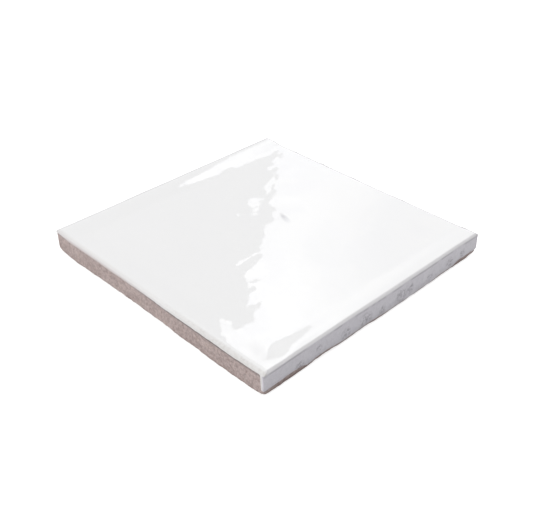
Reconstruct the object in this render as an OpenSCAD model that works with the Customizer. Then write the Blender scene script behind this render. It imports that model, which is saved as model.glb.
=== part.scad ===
// Ceramic wall tile with a handmade look: a square of fired clay, glazed on its face and one edge.
// It lies on its back, on z = 0, and the origin is the middle of the back.
// The glazed edge faces +X. The bare clay edge that meets it at the near corner faces -Y.

/* [Tile] */
// Width along X, across the glazed edge
tile_w = 131; // [90:1:200]
// Length along Y
tile_l = 130; // [90:1:200]
// Height of the rim above the back
tile_t = 10.8; // [8:0.1:20]

/* [Raised rim of the face] */
// Width of its level crest, in from the sides
crest_w = 2.3; // [1:0.1:5]
// Rise of the rim along the glazed edge, above the middle of the face
rim_right = 0.5; // [0:0.01:0.8]
// Width of its slope
rim_right_w = 9; // [4:0.5:30]
// Rise of the rim along the back edge
rim_back = 0.15; // [0:0.01:0.8]
// Width of its slope
rim_back_w = 10; // [4:0.5:30]
// Rise of the rim along the left edge
rim_left = 0.95; // [0:0.01:1.2]
// Width of its slope
rim_left_w = 12; // [4:0.5:30]
// Rise of the rim along the bare front edge
rim_front = 0.36; // [0:0.01:0.8]
// Width of its slope
rim_front_w = 11; // [4:0.5:40]

/* [Face] */
// Height of the slow swells that cross the face, each way
swell = 0.05; // [0:0.01:0.4]
// Length of one swell
swell_len = 58; // [35:1:120]

/* [Sides] */
// Radius of the rounded edge between the face and the sides
arris_r = 0.8; // [0.4:0.1:2.5]
// Corner radius of the sides, seen from above
corner_r = 0.9; // [0.5:0.1:5]
// Wander of the sides out of straight, each way
wander = 0.3; // [0:0.05:0.8]
// Length of one wander
wander_len = 74; // [40:1:150]

/* [Back] */
// Height of the eased edge round the back
ease_h = 0.9; // [0.4:0.1:2]
// Depth of the eased edge, in under the side
ease_in = 1.6; // [0.6:0.1:3]
// Rise of the eased edge at the corners
corner_rise = 2.4; // [0:0.1:3]
// Largest corner radius of the back, seen from above
back_corner_r = 12; // [6:0.5:16]

/* [Hidden] */

// Share of the rise at each corner: near right, far right, far left, near left
corner_shares = [0.4, 0.75, 0.8, 1];
// Share of the back's corner radius, at the same corners
back_shares = [0.6, 0.75, 0.8, 1];
// Sharpness of the rise at the corners
corner_power = 13;

// Uneven stretches of the eased edge: [side, place along it, rise, half length]
lifts = [
    ["front", -10, 1.3, 52],
    ["front", -44, 0.2, 10],
    ["front", 9, 0.4, 7],
    ["right", -33, 1.2, 12],
    ["right", -9, 0.5, 17],
    ["right", 41, 0.3, 12],
    ["back", -22, 0.9, 24],
    ["back", 30, 0.6, 18],
    ["left", 18, 1.1, 28],
    ["left", -38, 0.5, 14],
];

// Steps along each side, round each corner, over the arris, in to the middle, and up the side
side_steps = 24;
corner_steps = 4;
arris_steps = 3;
face_steps = 14;
wall_steps = 3;
ring_points = 4 * (side_steps + corner_steps);

// The eased edge turns this far in before it meets the back
ease_turn = 50;
ease_steps = 3;
// Depth below the back to which the sides run on, to be cut off flat, and their further turn there
cut_depth = 0.6;
cut_turn = 8;
// Clear margin of the cutting block round the tile
cut_margin = 10;
// Corner radius of the face, as a share of that of the sides
face_corner_share = 0.4;
// How far the rings of the face crowd towards the rim; 1 spaces them evenly
face_crowding = 1.3;

function lerp(a, b, f) = a + (b - a) * f;
function smooth(f) = let (g = min(1, max(0, f))) g * g * (3 - 2 * g);
function sum(list, i = 0) = i >= len(list) ? 0 : list[i] + sum(list, i + 1);

// A soft bump, 1 at its middle and 0 at and beyond its half length
function bump(distance, half) = abs(distance) >= half ? 0 : (1 + cos(180 * distance / half)) / 2;

// Slow swells of the glazed face, from -1 to 1
function swells(x, y) =
    let (a = 360 / swell_len)
    (sin(a * (x + 0.3 * y) + 25) + 0.7 * sin(a * (0.8 * y - 0.4 * x) + 200)
        + 0.5 * sin(a * (0.5 * x + 1.4 * y) + 110)) / 2.2;

// Wander of one side, from -1 to 1
function wanders(s, phase) =
    let (a = 360 / wander_len)
    (sin(a * s + phase) + 0.5 * sin(2.3 * a * s + 2 * phase)) / 1.5;

function rim(distance, rise, width) = rise * (1 - smooth((distance - crest_w) / width));

// Height of the glazed face: a level middle, raised rims and slow swells
function face(x, y) =
    let (
        u = x / (tile_w / 2),
        v = y / (tile_l / 2),
        mean_across = lerp(rim_left, rim_right, (u + 1) / 2),
        mean_along = lerp(rim_front, rim_back, (v + 1) / 2),
        middle = tile_t - (mean_across + mean_along) / 2,
        across = rim(tile_w / 2 - x, rim_right, rim_right_w) + rim(tile_w / 2 + x, rim_left, rim_left_w),
        along = rim(tile_l / 2 - y, rim_back, rim_back_w) + rim(tile_l / 2 + y, rim_front, rim_front_w)
    )
    middle + norm([across, along]) + swell * swells(x, y);

// Height of the eased edge at a place on the outline
function ease_height(x, y) =
    let (
        u = abs(x) / (tile_w / 2),
        v = abs(y) / (tile_l / 2),
        side = u > v ? (x > 0 ? "right" : "left") : (y > 0 ? "back" : "front"),
        s = u > v ? y : x,
        share = corner_shares[x > 0 ? (y > 0 ? 1 : 0) : (y > 0 ? 2 : 3)]
    )
    ease_h + corner_rise * share * pow(min(1, u * v), corner_power)
        + sum([for (lift = lifts) if (lift[0] == side) lift[2] * bump(s - lift[1], lift[3])]);

// Points of one closed outline with four rounded corners, anticlockwise from the near right corner
function outline(inset, radii) = [
    for (corner = [0:3])
        let (
            turn = 90 * corner - 90,
            r = radii[corner],
            next_r = radii[(corner + 1) % 4],
            here = corner_centre(corner, inset + r),
            next = corner_centre((corner + 1) % 4, inset + next_r),
            out = [cos(turn + 90), sin(turn + 90)]
        )
        each concat(
            [for (i = [0:corner_steps - 1]) here + r * [cos(turn + 90 * i / corner_steps),
                sin(turn + 90 * i / corner_steps)]],
            [for (i = [0:side_steps - 1]) lerp(here + r * out, next + next_r * out, i / side_steps)]
        )
];

function corner_centre(corner, inset) = [
    (corner == 0 || corner == 1 ? 1 : -1) * (tile_w / 2 - inset),
    (corner == 1 || corner == 2 ? 1 : -1) * (tile_l / 2 - inset)
];

function even(r) = [for (corner = [0:3]) r];

// The sides wander in from true
function settle(p) =
    let (u = p[0] / (tile_w / 2), v = p[1] / (tile_l / 2))
    [
        p[0] + u * wander * (wanders(p[1], u > 0 ? 40 : 150) - 1) / 2,
        p[1] + v * wander * (wanders(p[0], v > 0 ? 260 : 310) - 1) / 2,
        p[2]
    ];

// The eased edge: it turns in from the side, down to the cutting depth
function ease_ring(turn, under = false) =
    let (
        inset = ease_in * (1 - cos(turn)) / (1 - cos(ease_turn)),
        drop = sin(turn) / sin(ease_turn),
        radii = [for (share = back_shares) lerp(corner_r, back_corner_r * share, min(1, inset / ease_in))]
    )
    [
        for (p = outline(inset, radii))
            [p[0], p[1], under ? -cut_depth : ease_height(p[0], p[1]) * (1 - drop)]
    ];

function wall_ring(f) = [
    for (p = outline(0, even(corner_r)))
        [p[0], p[1], lerp(ease_height(p[0], p[1]), face(p[0], p[1]) - arris_r, f)]
];

function arris_ring(turn) =
    let (
        inset = arris_r * (1 - cos(turn)),
        r = corner_r * lerp(1, face_corner_share, 1 - cos(turn))
    )
    [for (p = outline(inset, even(r))) [p[0], p[1], face(p[0], p[1]) - arris_r * (1 - sin(turn))]];

// The rings of the face lie closer together near the rim, and grow rounder towards the middle
function face_ring(f) =
    let (
        middle = min(tile_w, tile_l) / 2 - arris_r,
        inset = arris_r + middle * pow(f, face_crowding),
        r = lerp(corner_r * face_corner_share, middle - (inset - arris_r), f * f)
    )
    [for (p = outline(inset, even(r))) [p[0], p[1], face(p[0], p[1])]];

rings = concat(
    [ease_ring(ease_turn + cut_turn, true)],
    [for (i = [ease_steps - 1:-1:0]) ease_ring(ease_turn * i / ease_steps)],
    [for (i = [1:wall_steps]) wall_ring(i / wall_steps)],
    [for (i = [1:arris_steps]) arris_ring(90 * i / arris_steps)],
    [for (i = [1:face_steps - 1]) face_ring(i / face_steps)]
);

function ring_faces(from) = [
    for (i = [0:ring_points - 1])
        let (
            next = (i + 1) % ring_points,
            low = from * ring_points,
            high = low + ring_points
        )
        each [[low + i, high + i, high + next], [low + i, high + next, low + next]]
];

module tile() {
    low_middle = ring_points * len(rings);
    high_middle = low_middle + 1;
    last = low_middle - ring_points;
    color([0.95, 0.95, 0.94])
    difference() {
        polyhedron(
            points = concat(
                [for (one = rings) each [for (p = one) settle(p)]],
                [[0, 0, -cut_depth], settle([0, 0, face(0, 0)])]
            ),
            faces = concat(
                [for (from = [0:len(rings) - 2]) each ring_faces(from)],
                [for (i = [0:ring_points - 1]) [low_middle, i, (i + 1) % ring_points]],
                [for (i = [0:ring_points - 1]) [high_middle, last + (i + 1) % ring_points, last + i]]
            )
        );
        // The back is flat
        translate([-tile_w / 2 - cut_margin, -tile_l / 2 - cut_margin, -cut_margin])
            cube([tile_w + 2 * cut_margin, tile_l + 2 * cut_margin, cut_margin]);
    }
}

tile();
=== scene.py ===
import math

import bmesh
import bpy
from mathutils import Matrix, Vector, noise


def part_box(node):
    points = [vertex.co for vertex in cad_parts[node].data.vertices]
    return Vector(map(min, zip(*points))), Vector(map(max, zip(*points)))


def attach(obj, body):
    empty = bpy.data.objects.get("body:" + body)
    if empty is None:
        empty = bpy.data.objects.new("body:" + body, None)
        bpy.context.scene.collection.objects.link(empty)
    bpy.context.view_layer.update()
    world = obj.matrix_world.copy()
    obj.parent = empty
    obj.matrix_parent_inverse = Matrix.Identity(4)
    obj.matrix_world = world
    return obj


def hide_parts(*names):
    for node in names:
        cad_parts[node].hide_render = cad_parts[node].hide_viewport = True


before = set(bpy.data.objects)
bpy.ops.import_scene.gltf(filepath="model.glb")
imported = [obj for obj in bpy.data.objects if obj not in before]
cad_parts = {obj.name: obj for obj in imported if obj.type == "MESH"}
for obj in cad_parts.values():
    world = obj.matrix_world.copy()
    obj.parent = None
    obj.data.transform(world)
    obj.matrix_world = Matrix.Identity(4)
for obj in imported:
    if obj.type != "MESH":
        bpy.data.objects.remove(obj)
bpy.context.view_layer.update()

mm = 0.001
tiny = 1e-6
onRim = 0.9999  # the grid's own coordinates run from -1 to 1, and beyond this a point lies on a side
low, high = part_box("tile")

# The pressed square, in millimetres. The size comes from the solid, and the rest repeats its forms.
tile = {
    "width": (high.x - low.x) / mm,
    "length": (high.y - low.y) / mm,
    "height": 10.8,
    "crest": 2.3,
    "rims": {  # rise above the middle of the face, and width of its slope
        "right": (0.5, 9),
        "back": (0.15, 10),
        "left": (0.95, 12),
        "front": (0.36, 11),
    },
    "swell": 0.05,
    "swellLength": 58,
    "arris": 0.8,
    "corner": 0.9,
    "cornerZone": 0.4,  # a point this near to the right-hand end belongs to the glazed side
    "wander": 0.3,
    "wanderLength": 74,
    "phases": {"right": 40, "left": 150, "back": 260, "front": 310},
    "easeHeight": 0.9,
    "easeIn": 1.6,
    "easeTurn": 50,
    "cornerRise": 2.4,
    "cornerShares": {"right": (0.4, 0.75), "left": (1, 0.8)},  # near and far
    "cornerPower": 13,
    "backCorner": 12,
    "backShares": {"right": (0.6, 0.75), "left": (1, 0.8)},
    "lifts": [  # uneven stretches of the eased edge: side, place along it, rise, half length
        ("front", -10, 1.3, 52),
        ("front", -44, 0.2, 10),
        ("front", 9, 0.4, 7),
        ("right", -33, 1.2, 12),
        ("right", -9, 0.5, 17),
        ("right", 41, 0.3, 12),
        ("back", -22, 0.9, 24),
        ("back", 30, 0.6, 18),
        ("left", 18, 1.1, 28),
        ("left", -38, 0.5, 14),
    ],
}
halfWidth = tile["width"] / 2
halfLength = tile["length"] / 2


def lerp(a, b, f):
    return a + (b - a) * f


def smooth(f):
    g = min(1.0, max(0.0, f))
    return g * g * (3 - 2 * g)


def bump(distance, half):
    return 0.0 if abs(distance) >= half else (1 + math.cos(math.pi * distance / half)) / 2


def grain(x, y, z, size, seed):
    return noise.noise(Vector((x / size + seed, y / size - seed, z / size + 2 * seed)))


def unevenness(x, y, z, layers):
    # Layers of grain, each with its size, height and seed
    return sum(tall * grain(x, y, z, size, seed) for size, tall, seed in layers)


def swells(x, y):
    a = 2 * math.pi / tile["swellLength"]
    first = math.sin(a * (x + 0.3 * y) + math.radians(25))
    second = math.sin(a * (0.8 * y - 0.4 * x) + math.radians(200))
    third = math.sin(a * (0.5 * x + 1.4 * y) + math.radians(110))
    return (first + 0.7 * second + 0.5 * third) / 2.2


def wanders(s, phase):
    a = 2 * math.pi / tile["wanderLength"]
    turn = math.radians(phase)
    return (math.sin(a * s + turn) + 0.5 * math.sin(2.3 * a * s + 2 * turn)) / 1.5


def rim(side, distance):
    rise, width = tile["rims"][side]
    return rise * (1 - smooth((distance - tile["crest"]) / width))


def face(x, y):
    # Height of the glazed face, as the solid has it
    rise = {side: values[0] for side, values in tile["rims"].items()}
    u, v = x / halfWidth, y / halfLength
    middle = lerp(rise["left"], rise["right"], (u + 1) / 2) + lerp(rise["front"], rise["back"], (v + 1) / 2)
    across = rim("right", halfWidth - x) + rim("left", halfWidth + x)
    along = rim("back", halfLength - y) + rim("front", halfLength + y)
    return tile["height"] - middle / 2 + math.hypot(across, along) + tile["swell"] * swells(x, y)


def easeHeight(x, y):
    # Height of the eased edge round the back, at a place on the outline
    u, v = abs(x) / halfWidth, abs(y) / halfLength
    if u > v:
        side, along = "right" if x > 0 else "left", y
    else:
        side, along = "back" if y > 0 else "front", x
    share = tile["cornerShares"]["right" if x > 0 else "left"][1 if y > 0 else 0]
    corner = share * min(1.0, u * v) ** tile["cornerPower"]
    rise = sum(lift[2] * bump(along - lift[1], lift[3]) for lift in tile["lifts"] if lift[0] == side)
    return tile["easeHeight"] + tile["cornerRise"] * corner + rise


def backRadius(u, v):
    return tile["backCorner"] * tile["backShares"]["right" if u > 0 else "left"][1 if v > 0 else 0]


def plan(u, v, insetX, insetY, radius):
    # A place on the rounded square: u and v run from -1 to 1, and the square's corners fold onto arcs
    x, y = u * (halfWidth - insetX), v * (halfLength - insetY)
    cx, cy = halfWidth - insetX - radius, halfLength - insetY - radius
    dx, dy = abs(x) - cx, abs(y) - cy
    if dx > 0 and dy > 0:
        pull = max(dx, dy) / math.hypot(dx, dy)
        x = math.copysign(cx + dx * pull, x)
        y = math.copysign(cy + dy * pull, y)
    return x, y


def settle(x, y, z):
    # The sides wander in from true
    u, v = x / halfWidth, y / halfLength
    sway, phases = tile["wander"] / 2, tile["phases"]
    across = x + u * sway * (wanders(y, phases["right" if u > 0 else "left"]) - 1)
    along = y + v * sway * (wanders(x, phases["back" if v > 0 else "front"]) - 1)
    return Vector((across, along, z)) * mm


def spread(u, zone, share):
    # Crowds the mesh's rows: the last share of them lie in the last zone of millimetres at each side
    start, edge = 1 - share, 1 - zone / halfWidth
    if abs(u) < start:
        return u * edge / start
    return math.copysign(edge + (abs(u) - start) * (1 - edge) / share, u)


def gridBox(across, along, up):
    mesh = bmesh.new()
    bmesh.ops.create_cube(mesh, size=2)
    for axis, steps in enumerate((across, along, up)):
        edges = [e for e in mesh.edges if abs((e.verts[0].co - e.verts[1].co)[axis]) > tiny]
        bmesh.ops.subdivide_edges(mesh, edges=edges, cuts=steps - 1, use_grid_fill=True)
    return mesh


def outness(vert):
    return max(abs(vert.co.x), abs(vert.co.y))


def onGlazedSide(x):
    return x > halfWidth - tile["cornerZone"]


def clearFaces(mesh, end, limit=2.0):
    # One hidden flat face takes the place of the grid at one end, or of its middle
    loose = [f for f in mesh.faces if all(abs(v.co.z - end) < tiny and outness(v) < limit for v in f.verts)]
    bmesh.ops.dissolve_faces(mesh, faces=loose, use_verts=True)


def finishPiece(name, mesh, material):
    bmesh.ops.recalc_face_normals(mesh, faces=mesh.faces)
    for part in mesh.faces:
        part.smooth = True
    data = bpy.data.meshes.new(name)
    mesh.to_mesh(data)
    mesh.free()
    data.materials.append(material)
    piece = bpy.data.objects.new(name, data)
    bpy.context.scene.collection.objects.link(piece)
    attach(piece, "root")
    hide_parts("tile")
    print(name, sum(len(part.vertices) - 2 for part in data.polygons), "triangles")
    return piece


class Socket:
    def __init__(self, tree, link):
        self.tree, self.link = tree, link

    def math(self, operation, *values):
        return self.tree.node("ShaderNodeMath", {"operation": operation}, dict(enumerate(values)))

    def __add__(self, other):
        return self.math("ADD", self, other)

    def __radd__(self, other):
        return self.math("ADD", other, self)

    def __sub__(self, other):
        return self.math("SUBTRACT", self, other)

    def __rsub__(self, other):
        return self.math("SUBTRACT", other, self)

    def __mul__(self, other):
        return self.math("MULTIPLY", self, other)

    def __rmul__(self, other):
        return self.math("MULTIPLY", other, self)


class Finish:
    # A material, or the world's nodes, written as expressions
    def __init__(self, owner):
        owner.use_nodes = True
        self.owner = owner
        self.nodes = owner.node_tree.nodes
        self.links = owner.node_tree.links
        self.nodes.clear()

    def node(self, kind, settings, values, out=0):
        made = self.nodes.new(kind)
        for key, value in settings.items():
            setattr(made, key, value)
        for key, value in values.items():
            if isinstance(value, Socket):
                self.links.new(value.link, made.inputs[key])
            else:
                made.inputs[key].default_value = value
        return Socket(self, made.outputs[out])

    def place(self, size, at=(0, 0, 0)):
        spot = self.node("ShaderNodeTexCoord", {}, {}, out="Object")
        values = {"Vector": spot, "Scale": [1 / (size * mm)] * 3, "Location": at}
        return self.node("ShaderNodeMapping", {}, values)

    def noise(self, size, detail=3, roughness=0.55, at=(0, 0, 0)):
        values = {"Vector": self.place(size, at), "Scale": 1, "Detail": detail, "Roughness": roughness}
        return self.node("ShaderNodeTexNoise", {}, values)

    def cells(self, size):
        return self.node("ShaderNodeTexVoronoi", {"feature": "F1"}, {"Vector": self.place(size), "Scale": 1})

    def axes(self, unit=1):
        spot = self.node("ShaderNodeTexCoord", {}, {}, out="Object")
        parts = [self.node("ShaderNodeSeparateXYZ", {}, {"Vector": spot}, out=i) for i in range(3)]
        return [part * (1 / unit) for part in parts]

    def absolute(self, value):
        return value.math("ABSOLUTE", value)

    def larger(self, first, second):
        return first.math("MAXIMUM", first, second)

    def nearSide(self, value, side, zone):
        # 0 up to the zone's first distance in from a side, and 1 from its second one on
        return self.between(value, side - zone[0], side - zone[1])

    def spots(self, across, up, spots):
        # 1 in the middle of each spot and 0 outside them
        total = 0
        for atAcross, atUp, size in spots:
            near = (across - atAcross) * (across - atAcross) + (up - atUp) * (up - atUp)
            total = self.between(near, size ** 2, 0.1 * size ** 2) + total
        return total

    def streak(self, x, y, mark):
        # 1 along the middle of a long oval mark
        atX, atY, long, wide, turn = mark
        a = math.radians(turn)
        dx, dy = x - atX, y - atY
        along = (dx * math.cos(a) + dy * math.sin(a)) * (1 / long)
        across = (dy * math.cos(a) - dx * math.sin(a)) * (1 / wide)
        return self.between(along * along + across * across, 1, 0)

    def background(self):
        # 1 for what the camera sees straight, in a gloss or through glass
        kinds = ("Is Camera Ray", "Is Glossy Ray", "Is Transmission Ray")
        return sum(self.node("ShaderNodeLightPath", {}, {}, out=kind) for kind in kinds)

    def scaled(self, colour, value):
        return self.node("ShaderNodeVectorMath", {"operation": "SCALE"}, {0: colour, "Scale": value})

    def between(self, value, start, end):
        values = {"Value": value, "From Min": start, "From Max": end}
        return self.node("ShaderNodeMapRange", {"interpolation_type": "SMOOTHSTEP"}, values)

    def mix(self, factor, first, second):
        values = {0: factor, 6: self.colour(first), 7: self.colour(second)}
        return self.node("ShaderNodeMix", {"data_type": "RGBA"}, values, out=2)

    def colour(self, value):
        return value if isinstance(value, Socket) else (*value, 1)

    def bumps(self, height, strength, distance, under=None):
        values = {"Height": height, "Strength": strength, "Distance": distance * mm}
        if under is not None:
            values["Normal"] = under
        return self.node("ShaderNodeBump", {}, values)

    def surface(self, shader):
        output = self.nodes.new("ShaderNodeOutputMaterial")
        self.links.new(shader.link, output.inputs["Surface"])
        return self.owner


# Glaze: a white gloss coat over the face, the arris and the right-hand side, in millimetres
glaze = {
    "thickness": 0.5,  # of the coat, mostly sunk in the clay
    "proud": 0.25,  # how far the coat stands out from the clay
    "roof": 2.4,  # the coat's hidden inner face lies this far under the rim
    "rows": (0.12, 0.32, 0.72),  # share of the mesh's rows reached inside, round the lower edge, up the side
    "lip": 0.25,  # how far it runs down below the arris on the bare sides
    "waver": [(7, 0.3, 3.1), (2.4, 0.18, 8.2)],  # of its lower edge: size, height, seed
    "hem": 0.5,  # its lower edge on the glazed side, above the eased edge
    "hemFloor": 1.1,
    "hemWaver": 0.7,  # share of the waver there
    "strip": 1.9,  # more bare clay at the near end of the glazed side
    "stripEnd": -43.5,
    "farStrip": 1.8,  # and at its far end, from here on
    "farStart": 46.0,
    "stripFade": 8,
    "cornerWrap": 1.7,  # how far the glazed side's coat turns round the corners
    "cornerFade": 0.6,
    "bead": 0.12,  # it swells there, over this width
    "beadWidth": 1.6,
    "innerCorner": 0.5,  # corner radius of the face, as a share of that of the sides
    "rightArris": 1.05,  # widths of the arris on two sides, where the height stays the same
    "backArris": 1.7,
    "bluntness": 0.6,  # 0 leaves the arris round, 1 makes it a flat chamfer
    "softArris": (3.0, -25, 60),  # the front arris widens to this, from this place on, over this length
    "across": 210,  # steps of the mesh
    "up": 36,
    "edgeZone": 2.2,  # this zone at each side takes the next share of the steps
    "edgeShare": 0.09,
    "ripples": [(11, 0.04, 3.7), (5, 0.026, 7.1), (2.4, 0.010, 1.3)],  # of the face: size, height, seed
    "hollows": [  # x, y, half width, half length, turn, depth
        (-18, 15.5, 10, 11, 46, 0.22),
        (-10.5, 23, 10, 9, 46, 0.2),
        (-11, 8, 8, 8, 46, 0.07),
        (-5, 14, 9, 2.8, -14, 0.08),
        (-24, 35, 11, 10, 46, 0.11),
        (30, -46, 13, 13, 46, 0.12),
        (36, -50, 9, 10, 46, 0.07),
        (10.5, -22, 3.2, 11, 3, 0.08),
        (21.5, -24, 6, 6, 0, 0.05),
        (-39.5, 43, 2.4, 2.8, 46, 0.06),
        (-18.5, 2, 2.4, 2.6, 46, 0.11),
        (-31, 36, 1.8, 5, 35, 0.03),
        (-28, 31, 1.6, 6, 30, 0.03),
        (-24, 26, 1.8, 5, 25, 0.03),
        (-56.5, 26.5, 5, 6, 0, 0.2),
        (57.5, -53.5, 12, 7, 0, 0.36),
        (61, -44, 4.5, 18, 0, -0.09),  # a negative depth is a low ridge
        (58, -63.5, 12, 4.5, 0, -0.12),
        (-64.5, 33, 4.5, 34, 0, -0.09),
        (-60.5, 3, 5.5, 11, 0, -0.07),
    ],
    "pits": [  # rough dark patches on the glazed side: y, z, size
        (-46, 3.6, 3.0), (-36, 6.0, 2.0), (-21, 4.2, 3.4), (-9.5, 4.2, 4.6), (0, 3.8, 3.0), (12, 4.6, 4.4),
        (18, 5.4, 3.0), (31, 4.6, 2.6), (45, 4.7, 3.4), (54, 5.6, 2.4),
    ],
    "pitDepth": 0.05,
    "pitGrain": [(1.1, 0.4, 2.9)],
    "sideGrain": [(6, 0.14, 5.0), (2.4, 0.12, 1.7), (1.1, 0.05, 9.3)],
    "sideFade": 2,  # the side's unevenness fades out over this height under the arris
    # Where each tone starts and is full: distances in from a side, or places along x, y or z
    "rimShadeZone": (1.6, 0.8),
    "leftShadeZone": (2.1, 1.3),
    "farShadeZone": (2.0, 1.0),
    "farLeft": (25, -10),
    "farLow": (10.2, 9.6),
    "frontZone": (2.8, 1.4),
    "frontRight": (-30, 50),
    "blushZone": (3.0, 0.8),
    "blushLeft": (15, -25),
    "blushLow": (10.5, 9.7),
    "sideZone": (0.9, 0.5),
    "sideTop": (9.8, 10.4),
    "sideLow": (5.5, 2.0),
    "seamTop": (9.0, 9.4),
    # where the painted shade at the far corner of the glazed side starts and is full
    "cornerZone": (1.5, 0.6),
    "paintedReflection": (-1.8, 14.2, 5.8, 1.9, -18),  # a painted dark reflection, a grey streak on the face: x, y, half length, half width, turn
    "paintedReflectionFade": (4, -4),
    "white": (0.847, 0.845, 0.841),
    "cloud": (0.838, 0.837, 0.838),
    "thin": (0.64, 0.62, 0.60),
    # painted shade along the arris round the face
    "rimShade": (0.60, 0.575, 0.60),
    # painted shade along the far rim and the left rim
    "farRimShade": (0.46, 0.44, 0.46),
    "blush": (0.50, 0.43, 0.41),
    # tone of the painted dark reflection on the face
    "paintedReflectionTone": (0.66, 0.66, 0.675),
    # the glazed side's tone: thin glaze over the clay, partly painted shade
    "side": (0.655, 0.635, 0.685),
    # darker glaze at the pits and foot, and painted shade at the far corner
    "sideDarkAndShade": (0.38, 0.36, 0.40),
    "roughness": 0.012,
    "sideRoughness": 0.28,  # more than on the face
}


def ripple(x, y):
    # Hand-made unevenness of the glaze: fine ripples and single shallow hollows
    height = unevenness(x, y, 0, glaze["ripples"])
    for atX, atY, wide, long, turn, depth in glaze["hollows"]:
        a = math.radians(turn)
        dx, dy = x - atX, y - atY
        across = (dx * math.cos(a) + dy * math.sin(a)) / wide
        along = (dy * math.cos(a) - dx * math.sin(a)) / long
        height -= depth * bump(math.hypot(across, along), 1)
    return height


def arrisWidth(x, y):
    # Across X and across Y: the front arris is wider towards the near corner
    wide, start, length = glaze["softArris"]
    front = lerp(tile["arris"], wide, smooth((x - start) / length))
    return glaze["rightArris"] if x > 0 else tile["arris"], front if y < 0 else glaze["backArris"]


def hemHeight(x, y):
    # Height of the coat's lower edge at a place on the outline
    waver = unevenness(x, y, 0, glaze["waver"])
    lip = face(x, y) - tile["arris"] - glaze["lip"] + waver
    fade = glaze["stripFade"]
    near = glaze["strip"] * (1 - smooth((y - glaze["stripEnd"]) / fade + 0.5))
    far = glaze["farStrip"] * smooth((y - glaze["farStart"]) / fade)
    hem = max(easeHeight(x, y) + glaze["hem"], glaze["hemFloor"] + near + far) + glaze["hemWaver"] * waver
    turned = smooth((x - halfWidth + glaze["cornerWrap"]) / glaze["cornerFade"])
    return lerp(lip, hem, turned)


def coatProfile(q, hem, top):
    # From the inner roof down inside the clay, round the lower edge, up the side and over the arris.
    # It gives the depth in from the side, how far it is over the arris, and the height.
    thick, arris = glaze["thickness"], tile["arris"]
    inside, curled, upright = glaze["rows"]
    if q < inside:
        return thick, 0, lerp(tile["height"] - glaze["roof"], hem + thick / 2, q / inside)
    if q < curled:
        turn = math.pi * (q - inside) / (curled - inside)
        return thick / 2 + thick / 2 * math.cos(turn), 0, hem + thick / 2 - thick / 2 * math.sin(turn)
    if q < upright:
        return 0.0, 0, lerp(hem + thick / 2, top - arris, (q - curled) / (upright - curled))
    f = (q - upright) / (1 - upright)
    turn = math.pi / 2 * f
    over = lerp(1 - math.cos(turn), f, glaze["bluntness"])
    drop = lerp(1 - math.sin(turn), 1 - f, glaze["bluntness"])
    return 0.0, over, top - arris * drop


def dents(y, z):
    # Uneven glaze on the right-hand side, roughest in its pitted patches
    rough = max(bump(math.hypot(y - atY, z - atZ), size) for atY, atZ, size in glaze["pits"])
    pitted = rough * (glaze["pitDepth"] + unevenness(0, y, z, glaze["pitGrain"]))
    return pitted + unevenness(0, y, z, glaze["sideGrain"])


def makeGlaze(material):
    mesh = gridBox(glaze["across"], glaze["across"], glaze["up"])
    clearFaces(mesh, -1)
    for vert in mesh.verts:
        u, v = (spread(part, glaze["edgeZone"], glaze["edgeShare"]) for part in vert.co[:2])
        onSide = outness(vert) > onRim
        cornerX, cornerY = plan(u, v, 0, 0, tile["corner"])
        wideX, wideY = arrisWidth(cornerX, cornerY)
        inset, over = 0, 1
        if onSide:
            innerX, innerY = plan(u, v, wideX, wideY, tile["corner"] * glaze["innerCorner"])
            top = face(innerX, innerY) + ripple(innerX, innerY)
            inset, over, z = coatProfile((vert.co.z + 1) / 2, hemHeight(cornerX, cornerY), top)
        radius = tile["corner"] * lerp(1, glaze["innerCorner"], over)
        x, y = plan(u, v, inset + over * wideX, inset + over * wideY, radius)
        if not onSide:
            z = face(x, y) + ripple(x, y)
        elif onGlazedSide(cornerX) and inset < glaze["thickness"]:
            x -= dents(y, z) * smooth((top - tile["arris"] - z) / glaze["sideFade"])
            bead = glaze["bead"] * bump(halfLength - abs(cornerY), glaze["beadWidth"]) * (1 - over)
            x += bead
            y += math.copysign(bead, y)
        vert.co = settle(x, y, z)
    return finishPiece("glaze", mesh, material)


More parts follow.
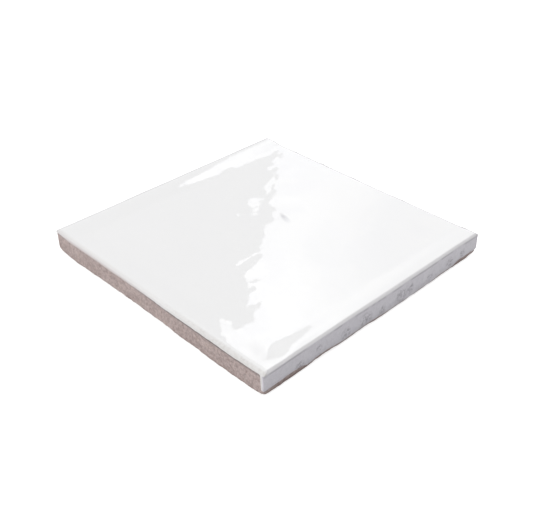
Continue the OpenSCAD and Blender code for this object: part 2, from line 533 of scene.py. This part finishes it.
def glazeFinish():
    f = Finish(bpy.data.materials.new("white gloss glaze"))
    x, y, z = f.axes(mm)
    edge = f.nearSide(f.larger(f.absolute(x), f.absolute(y)), halfWidth, glaze["rimShadeZone"])
    leftRimShade = f.nearSide(0 - x, halfWidth, glaze["leftShadeZone"])
    far = f.nearSide(y, halfLength, glaze["farShadeZone"])
    farDeep = f.larger(f.between(x, *glaze["farLeft"]), f.between(z, *glaze["farLow"]))
    blush = f.nearSide(0 - y, halfLength, glaze["blushZone"]) * f.between(x, *glaze["blushLeft"])
    blushDeep = f.between(z, *glaze["blushLow"])
    front = f.nearSide(0 - y, halfLength, glaze["frontZone"]) * f.between(x, *glaze["frontRight"])
    # Painted reflection: a grey streak stands in for something dark mirrored in the face
    paintedReflection = f.streak(x, y, glaze["paintedReflection"]) * f.between(x, *glaze["paintedReflectionFade"])
    speck = f.noise(1.1, 3, 0.7)
    tone = f.mix(f.noise(26, 3), glaze["cloud"], glaze["white"])
    # Painted shade: the face darkens along its rounded arris on every side
    tone = f.mix(edge * 0.5, tone, glaze["rimShade"])
    # Painted shade along the far rim, stronger lower down it and towards the left
    tone = f.mix(far * (0.4 + 0.55 * farDeep), tone, glaze["farRimShade"])
    tone = f.mix(blush * (0.25 + 0.65 * blushDeep), tone, glaze["blush"])
    # Painted shade along the left rim
    tone = f.mix(leftRimShade * 0.25, tone, glaze["farRimShade"])
    # The painted dark reflection
    tone = f.mix(paintedReflection, tone, glaze["paintedReflectionTone"])
    tone = f.mix(front * (0.5 + 0.35 * f.between(speck, 0.4, 0.65)), tone, glaze["thin"])
    # The glazed side, toned as thin glaze over the clay and partly as painted shade: a little darker towards
    # its foot, at its pits, along its seam, and with painted shade at the far corner
    side = f.nearSide(x, halfWidth, glaze["sideZone"]) * (1 - f.between(z, *glaze["sideTop"]))
    seam = side * f.between(z, *glaze["seamTop"]) * f.between(f.noise(9, 2), 0.4, 0.55)
    low = f.between(z, *glaze["sideLow"])
    mottle = f.between(speck, 0.42, 0.7) * (0.2 + 0.15 * low)
    flecks = f.between(f.noise(1.2, 3, 0.8), 0.46, 0.56) * f.spots(y, z, glaze["pits"])
    # Painted shade at the far corner of the glazed side
    farCornerShade = f.nearSide(y, halfLength, glaze["cornerZone"])
    sideTone = glaze["side"]
    for share in (mottle + low * 0.28, flecks, seam * 0.6, farCornerShade * 0.8):
        sideTone = f.mix(share, sideTone, glaze["sideDarkAndShade"])
    # The glazed side's tone, partly painted shade
    tone = f.mix(side, tone, sideTone)
    fine = f.bumps(f.noise(1.7, 2), 0.25, 0.02)
    base = f.node("ShaderNodeBsdfPrincipled", {}, {
        "Base Color": tone,
        "Roughness": f.noise(3, 2) * 0.02 + glaze["roughness"] + side * glaze["sideRoughness"],
        "IOR": 1.5,
        "Normal": f.bumps(speck * (side + front * 0.3), 0.6, 0.2, under=fine),
    })
    return f.surface(base)


# Bare clay: the body of the tile, seen on its sides and back, in millimetres
clay = {
    "across": 170,  # steps of the mesh
    "up": 40,
    "easeRows": 0.3,  # share of the mesh's rows that goes round the eased edge
    "edgeZone": 4.0,  # this zone at each side takes the next share of the steps
    "edgeShare": 0.1,
    "hiddenTop": 8.0,
    "topGap": 0.9,  # the sides stop this far under the rim, behind the glaze
    "footFade": 0.8,  # the chips fade out below this height
    "rough": [(5, 0.10, 2.2), (1.6, 0.10, 6.0), (0.7, 0.05, 4.4)],  # size, height, seed
    "sideSeeds": {"front": 50, "left": 40, "back": 40},
    "nicks": [  # side, along it, height above the back, half size, depth
        ("front", -13, 1.6, 1.6, 0.7),
        ("front", -48, 9.2, 1.2, 0.3),
        ("front", 30, 1.2, 1.3, 0.4),
        ("left", 25, 1.8, 2.0, 0.6),
        ("back", -30, 1.8, 1.6, 0.6),
        ("back", 12, 8.0, 1.2, 0.3),
    ],
    "ragged": [(4.5, 0.32, 6.1), (1.7, 0.16, 3.3)],  # how the lower edge strays
    "raggedUp": 0.6,  # up to this height above the eased edge
    "raggedIn": 5,  # and this far in on the back
    "ribPitch": 9.0,  # faint ribs on the back
    "ribDepth": 0.25,
    "ribShape": (0.55, 0.7),  # widens the ribs, and softens their sides
    "ribMargin": 5,
    "ribFade": 4,
    "backGrain": [(11, 0.10, 4.0), (2.5, 0.06, 7.7)],
    # Where the painted shade under the glaze and the painted shade along the dark foot start and are full,
    # along x and z
    "shadeUp": (8.5, 9.2),
    "shadeRight": (-20, 15),
    "shadeEnd": (48, 60),
    "footShadeDown": (2.2, 0.9),
    "footShadeRight": (62, 64),
    "brown": (0.43, 0.35, 0.336),
    "dark": (0.27, 0.20, 0.18),
    "pale": (0.56, 0.47, 0.45),
    "tan": (0.56, 0.45, 0.36),
    "shade": (0.215, 0.19, 0.185),
}


def bodyProfile(q, ease, top):
    # Up from the back, out round the eased edge and up the side
    turnEnd = math.radians(tile["easeTurn"])
    rows = clay["easeRows"]
    if q < rows:
        turn = turnEnd * (1 - q / rows)
        inset = tile["easeIn"] * (1 - math.cos(turn)) / (1 - math.cos(turnEnd))
        return inset, ease * (1 - math.sin(turn) / math.sin(turnEnd))
    return 0.0, lerp(ease, top - clay["topGap"], (q - rows) / (1 - rows))


def chips(side, along, z):
    depth = unevenness(along, z, clay["sideSeeds"][side], clay["rough"])
    for where, place, height, half, deep in clay["nicks"]:
        if where == side:
            depth += deep * bump(math.hypot(along - place, z - height), half)
    return depth


def relief(x, y):
    # The back is a little uneven, with faint ribs, and rests on its high places
    edge = smooth((halfWidth - clay["ribMargin"] - max(abs(x), abs(y))) / clay["ribFade"])
    widen, soften = clay["ribShape"]
    rib = smooth((math.cos(2 * math.pi * x / clay["ribPitch"]) + widen) / soften)
    rough = sum(abs(unevenness(x, y, 0, [layer])) for layer in clay["backGrain"])
    return edge * (clay["ribDepth"] * rib + rough)


def ragged(x, y, weight):
    # The lower edge isn't cut clean: it moves in and out a little
    grow = 1 + unevenness(x, y, 0, clay["ragged"]) * weight / halfWidth
    return x * grow, y * grow


def makeClay(material):
    mesh = gridBox(clay["across"], clay["across"], clay["up"])
    clearFaces(mesh, 1, onRim)
    for vert in mesh.verts:
        u, v = (spread(part, clay["edgeZone"], clay["edgeShare"]) for part in vert.co[:2])
        proud = glaze["proud"]
        if outness(vert) > onRim:
            outX, outY = plan(u, v, 0, 0, tile["corner"])
            ease = easeHeight(outX, outY)
            inset, z = bodyProfile((vert.co.z + 1) / 2, ease, face(outX, outY))
            share = min(1.0, inset / tile["easeIn"])
            radius = lerp(tile["corner"], backRadius(u, v), share)
            x, y = plan(u, v, inset + proud, inset + proud, radius)
            fade = smooth(z / clay["footFade"])
            x, y = ragged(x, y, 1 - smooth(z / (ease + clay["raggedUp"])))
            if onGlazedSide(outX):
                x -= dents(y, z) * smooth((tile["height"] - tile["arris"] - z) / glaze["sideFade"]) * fade
            elif abs(v) >= abs(u):
                y -= math.copysign(chips("back" if v > 0 else "front", x, z) * fade, v)
            else:
                x += chips("left", y, z) * fade
        else:
            x, y = plan(u, v, tile["easeIn"] + proud, tile["easeIn"] + proud, backRadius(u, v))
            inside = halfWidth - tile["easeIn"] - proud - max(abs(x), abs(y))
            x, y = ragged(x, y, 1 - smooth(inside / clay["raggedIn"]))
            z = clay["hiddenTop"] if vert.co.z > 0 else relief(x, y)
        vert.co = settle(x, y, z)
    return finishPiece("clay_body", mesh, material)


def clayFinish():
    f = Finish(bpy.data.materials.new("fired clay"))
    x, y, z = f.axes(mm)
    fine = f.noise(1.5, 4, 0.8)
    sand = f.noise(0.9, 2, 0.6)
    pits = f.between(f.cells(1.3), 0.16, 0.05)
    tone = f.mix(f.between(f.noise(9, 3), 0.35, 0.7) * 0.45, clay["brown"], clay["pale"])
    tone = f.mix(f.between(f.noise(4, 2, at=(3, 1, 2)), 0.55, 0.75) * 0.22, tone, clay["tan"])
    tone = f.mix(f.between(fine, 0.5, 0.68) * 0.75, tone, clay["dark"])
    tone = f.mix(f.between(fine, 0.48, 0.32) * 0.8, tone, clay["pale"])
    tone = f.scaled(tone, 0.88 + 0.24 * f.between(sand, 0.42, 0.58))
    tone = f.mix(pits * 0.7, tone, clay["dark"])
    # Painted shade: a dark line along the foot, under the eased edge, strongest on the glazed side
    footShade = f.between(z, *clay["footShadeDown"]) * (0.55 + 0.3 * f.between(x, *clay["footShadeRight"]))
    tone = f.mix(footShade, tone, clay["dark"])
    shaded = f.between(x, *clay["shadeRight"]) * (1 - 0.5 * f.between(x, *clay["shadeEnd"]))
    under = f.between(z, *clay["shadeUp"]) * (0.15 + 0.8 * shaded)
    tone = f.mix(under, tone, clay["shade"])
    base = f.node("ShaderNodeBsdfPrincipled", {}, {
        "Base Color": tone,
        "Roughness": 0.92,
        "Specular IOR Level": 0.2,
        "Normal": f.bumps(fine + sand * 0.5 - pits * 0.6, 0.6, 0.3),
    })
    return f.surface(base)


# Stage: a white floor, a dim even surround, a soft light above, a soft fill on the bare side
# and one large bright window beyond the tile's right-hand half, in metres
stage = {
    "floorSize": 30.0,
    "floorDrop": 0.03 * mm,
    "floorTone": 0.62,
    "floorWhite": 0.75,
    "surround": 0.47,
    "above": {"turn": 0, "rise": 90, "distance": 1.5, "size": (1.2, 1.2), "glow": 1.18},
    "fill": {"turn": -5, "rise": 24, "distance": 1.3, "size": (1.2, 0.9), "glow": 2.47},
    "offPole": 0.01,  # keeps a light's rise off 90 degrees, where it would have no upright
    "window": {"turn": 196.6, "rise": 34, "roll": 5, "distance": 1.4, "size": (1.3, 1.2)},
    "windowGlow": 1.25,
    "windowBright": 1.25,  # more glow towards its top
    "windowTop": (-0.12, 0.3),
    "windowSide": (0.4, 0.05),  # where half the glow starts to rise to the whole, and ends, in from one side
    "windowTint": (0.95, 0.955, 1.0),
    "cloudSize": 160,  # in millimetres
}

# Camera: turned from straight on, as the photograph was taken, with distances as shares of the tile's length
shot = {
    "azimuth": 46.052,
    "elevation": 34.819,
    "roll": -0.325,
    "distance": 2.779,
    "sideways": 0.0061,
    "upwards": -0.1088,
    "focus": 829.9,  # in pixels of a picture this wide
    "frameWidth": 533,
    "sensor": 36,  # in millimetres, as is the place that it aims at
    "aim": (-0.7, 0, 10.3),
}


def viewAxes(azimuth, elevation, roll=0.0):
    a, e, r = math.radians(azimuth), math.radians(elevation), math.radians(roll)
    back = Vector((math.sin(a) * math.cos(e), -math.cos(a) * math.cos(e), math.sin(e)))
    right = (-back).cross(Vector((0, 0, 1))).normalized()
    up = right.cross(-back)
    across = math.cos(r) * right + math.sin(r) * up
    upright = math.cos(r) * up - math.sin(r) * right
    return across, upright, back


def facing(axes, spot):
    return Matrix.Translation(spot) @ Matrix(axes).transposed().to_4x4()


def stageSheet(name, width, length):
    mesh = bmesh.new()
    bmesh.ops.create_grid(mesh, x_segments=1, y_segments=1, size=0.5)
    bmesh.ops.scale(mesh, vec=(width, length, 1), verts=mesh.verts)
    data = bpy.data.meshes.new(name)
    mesh.to_mesh(data)
    mesh.free()
    sheet = bpy.data.objects.new(name, data)
    bpy.context.scene.collection.objects.link(sheet)
    return sheet


def makeCamera():
    across, upright, back = viewAxes(shot["azimuth"], shot["elevation"], shot["roll"])
    spot = back * shot["distance"] + across * shot["sideways"] + upright * shot["upwards"]
    data = bpy.data.cameras.new("camera")
    data.sensor_width = shot["sensor"]
    data.lens = shot["focus"] * data.sensor_width / shot["frameWidth"]
    data.clip_start = 0.01
    camera = bpy.data.objects.new("camera", data)
    place = (spot * tile["length"] + Vector(shot["aim"])) * mm
    camera.matrix_world = facing((across, upright, back), place)
    bpy.context.scene.collection.objects.link(camera)
    bpy.context.scene.camera = camera


def makeFloor():
    # White to the eye, with the tile's shadow on it
    floor = stageSheet("floor", stage["floorSize"], stage["floorSize"])
    floor.location.z = -stage["floorDrop"]
    f = Finish(bpy.data.materials.new("pale floor"))
    matt = f.node("ShaderNodeBsdfDiffuse", {}, {"Color": (stage["floorTone"],) * 3 + (1,)})
    white = f.mix(f.background(), (0, 0, 0), (stage["floorWhite"],) * 3)
    lift = f.node("ShaderNodeEmission", {}, {"Color": white, "Strength": 1})
    floor.data.materials.append(f.surface(f.node("ShaderNodeAddShader", {}, {0: matt, 1: lift})))


def lightAt(name, spot):
    # A soft panel of light that faces the tile
    panel = bpy.data.lights.new(name, "AREA")
    panel.shape = "RECTANGLE"
    panel.size, panel.size_y = spot["size"]
    panel.energy = spot["glow"] * math.pi * panel.size * panel.size_y
    light = bpy.data.objects.new(name, panel)
    axes = viewAxes(spot["turn"], spot["rise"] - stage["offPole"])
    light.matrix_world = facing(axes, axes[2] * spot["distance"])
    bpy.context.scene.collection.objects.link(light)


def makeWindow():
    # A glowing sheet with soft cloud, brightest at its top and towards one side
    spot = stage["window"]
    window = stageSheet("window", *spot["size"])
    axes = viewAxes(spot["turn"], spot["rise"])
    rolled = Matrix.Rotation(math.radians(spot["roll"]), 4, "Z")
    window.matrix_world = facing(axes, axes[2] * spot["distance"]) @ rolled
    f = Finish(bpy.data.materials.new("window"))
    x, y = f.axes()[:2]
    cloud = f.noise(stage["cloudSize"], 4, 0.6)
    sideways = 0.5 + 0.5 * f.nearSide(x, spot["size"][0] / 2, stage["windowSide"])
    upwards = stage["windowGlow"] + stage["windowBright"] * f.between(y, *stage["windowTop"])
    tint = f.mix(f.between(cloud, 0.4, 0.6), stage["windowTint"], (1, 1, 1))
    level = 1 + upwards * sideways * (0.88 + 0.24 * f.between(cloud, 0.35, 0.65))
    glow = f.node("ShaderNodeEmission", {}, {"Color": f.scaled(tint, level), "Strength": 1})
    window.data.materials.append(f.surface(glow))


def makeWorld():
    world = bpy.data.worlds.new("studio")
    bpy.context.scene.world = world
    f = Finish(world)
    level = f.mix(f.background(), (stage["surround"],) * 3, (1, 1, 1))
    glow = f.node("ShaderNodeBackground", {}, {"Color": level, "Strength": 1})
    output = f.nodes.new("ShaderNodeOutputWorld")
    f.links.new(glow.link, output.inputs["Surface"])


print("glaze")
makeGlaze(glazeFinish())
print("clay")
makeClay(clayFinish())
print("stage")
makeCamera()
makeFloor()
makeWorld()
lightAt("above", stage["above"])
lightAt("fill", stage["fill"])
makeWindow()
bpy.context.scene.view_settings.view_transform = "Standard"
